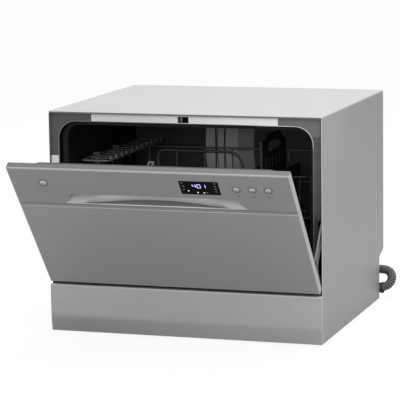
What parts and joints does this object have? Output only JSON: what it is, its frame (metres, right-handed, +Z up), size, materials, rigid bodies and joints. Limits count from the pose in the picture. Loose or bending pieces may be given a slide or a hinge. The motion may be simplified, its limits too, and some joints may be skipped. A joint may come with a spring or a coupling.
{
  "type": "countertop dishwasher",
  "caption": "Compact countertop dishwasher with a tilting front door, wire rack, cutlery basket, spray arm, push buttons, display window and a rear drain hose.",
  "frame": {"origin": "on the standing surface under the middle of the cabinet's footprint", "axes": "+X to the right seen from the front, the door faces -Y, +Z up"},
  "size_m": [0.5803, 0.9597, 0.438],
  "materials": {
    "silver_paint": "satin",
    "silver_plastic": "satin",
    "frame_steel": "brushed",
    "tub_steel": "satin",
    "bright_trim": "polished",
    "black_plastic": "matte",
    "grey_plastic": "satin",
    "white_plastic": "satin",
    "rubber": "matte",
    "hose_plastic": "satin",
    "hardware_steel": "zinc plated",
    "window": "gloss",
    "button_plastic": "satin",
    "circuit_board": "matte",
    "coated_wire": "satin"
  },
  "bodies": {
    "cabinet": {"top_panel": "silver_paint", "side_panel_left": "silver_paint", "side_panel_right": "silver_paint", "rear_panel": "silver_paint", "base_tray": "black_plastic", "kick_plate": "silver_plastic", "feet": "rubber", "cabinet_screws": "hardware_steel", "front_frame": "frame_steel", "top_trim_strip": "bright_trim", "jamb_plate": "black_plastic", "latch_housing": "black_plastic", "tub_wrapper": "tub_steel", "tub_back": "tub_steel", "tub_floor": "tub_steel", "tub_rails": "grey_plastic", "door_seals": "rubber", "air_breather": "white_plastic", "hinge_brackets": "hardware_steel", "hinge_pins": "hardware_steel", "hinge_brakes": "black_plastic", "sump": "black_plastic", "flat_filter": "tub_steel", "salt_container": "black_plastic", "spray_hub": "grey_plastic", "wash_pump": "black_plastic", "drain_pump": "black_plastic", "drain_elbow": "black_plastic", "drain_cuff": "rubber", "inlet_valve": "white_plastic", "cable_gland": "black_plastic", "drain_hose": "hose_plastic", "hose_coil": "hose_plastic", "hose_end_cuff": "rubber", "hose_clip": "black_plastic"},
    "door": {"door_outer_panel": "silver_paint", "control_panel": "silver_plastic", "display_window": "window", "control_board": "circuit_board", "button_rings": "bright_trim", "door_inner_liner": "tub_steel", "dispenser_body": "grey_plastic", "door_strike": "hardware_steel", "hinge_arms": "hardware_steel"},
    "rack": {"rack_floor": "coated_wire", "rack_walls": "coated_wire", "rack_tines": "coated_wire", "rack_glides": "grey_plastic"},
    "button_power": {"button_power": "button_plastic"},
    "button_program": {"button_program": "button_plastic"},
    "button_option": {"button_option": "button_plastic"},
    "button_start": {"button_start": "button_plastic"},
    "dispenser_lid": {"dispenser_lid": "grey_plastic"},
    "rinse_aid_cap": {"rinse_aid_cap": "grey_plastic"},
    "filter_cylinder": {"filter_cylinder": "tub_steel"},
    "salt_cap": {"salt_cap": "grey_plastic"},
    "float_cap": {"float_cap": "grey_plastic"},
    "spray_arm": {"spray_arm": "grey_plastic"},
    "cup_shelf": {"cup_shelf": "coated_wire"},
    "cutlery_basket": {"cutlery_basket": "grey_plastic"}
  },
  "joints": [
    {"name": "door_hinge", "type": "hinge", "parent": "cabinet", "child": "door", "pos_m": [0, -0.25, 0.11], "axis": [1, 0, 0], "range_deg": [-39.25, 50.75]},
    {"name": "button_power_press", "type": "slide", "parent": "door", "child": "button_power", "axis": [0, 0.7744, 0.6327], "range_m": [0, 0.0015], "stiffness_N_per_m": 600},
    {"name": "button_program_press", "type": "slide", "parent": "door", "child": "button_program", "axis": [0, 0.7744, 0.6327], "range_m": [0, 0.0015], "stiffness_N_per_m": 600},
    {"name": "button_option_press", "type": "slide", "parent": "door", "child": "button_option", "axis": [0, 0.7744, 0.6327], "range_m": [0, 0.0015], "stiffness_N_per_m": 600},
    {"name": "button_start_press", "type": "slide", "parent": "door", "child": "button_start", "axis": [0, 0.7744, 0.6327], "range_m": [0, 0.0015], "stiffness_N_per_m": 600},
    {"name": "dispenser_lid_hinge", "type": "hinge", "parent": "door", "child": "dispenser_lid", "pos_m": [-0.036, -0.29228, 0.2188], "axis": [-1, 0, 0], "range_deg": [0, 175]},
    {"name": "rinse_aid_cap_twist", "type": "hinge", "parent": "door", "child": "rinse_aid_cap", "pos_m": [0.027, -0.31896, 0.24735], "axis": [0, 0.7744, 0.6327], "range_deg": [0, 90]},
    {"name": "filter_twist", "type": "hinge", "parent": "cabinet", "child": "filter_cylinder", "pos_m": [0.105, -0.095, 0.1], "axis": [0, 0, 1], "range_deg": [0, 60]},
    {"name": "salt_cap_twist", "type": "hinge", "parent": "cabinet", "child": "salt_cap", "pos_m": [-0.14, 0.045, 0.12], "axis": [0, 0, 1], "range_deg": [0, 270]},
    {"name": "float_lift", "type": "slide", "parent": "cabinet", "child": "float_cap", "axis": [0, 0, 1], "range_m": [0, 0.004]},
    {"name": "spray_arm_spin", "type": "hinge", "parent": "cabinet", "child": "spray_arm", "pos_m": [0, -0.01, 0.155], "axis": [0, 0, 1], "continuous": true},
    {"name": "rack_slide", "type": "slide", "parent": "cabinet", "child": "rack", "axis": [0, -1, 0], "range_m": [-0.012, 0.012]},
    {"name": "cup_shelf_fold", "type": "hinge", "parent": "rack", "child": "cup_shelf", "pos_m": [-0.2324, 0, 0.334], "axis": [0, -1, 0], "range_deg": [0, 80]},
    {"name": "cutlery_basket_lift", "type": "slide", "parent": "rack", "child": "cutlery_basket", "axis": [0, 0, 1], "range_m": [0, 0.03]}
  ]
}
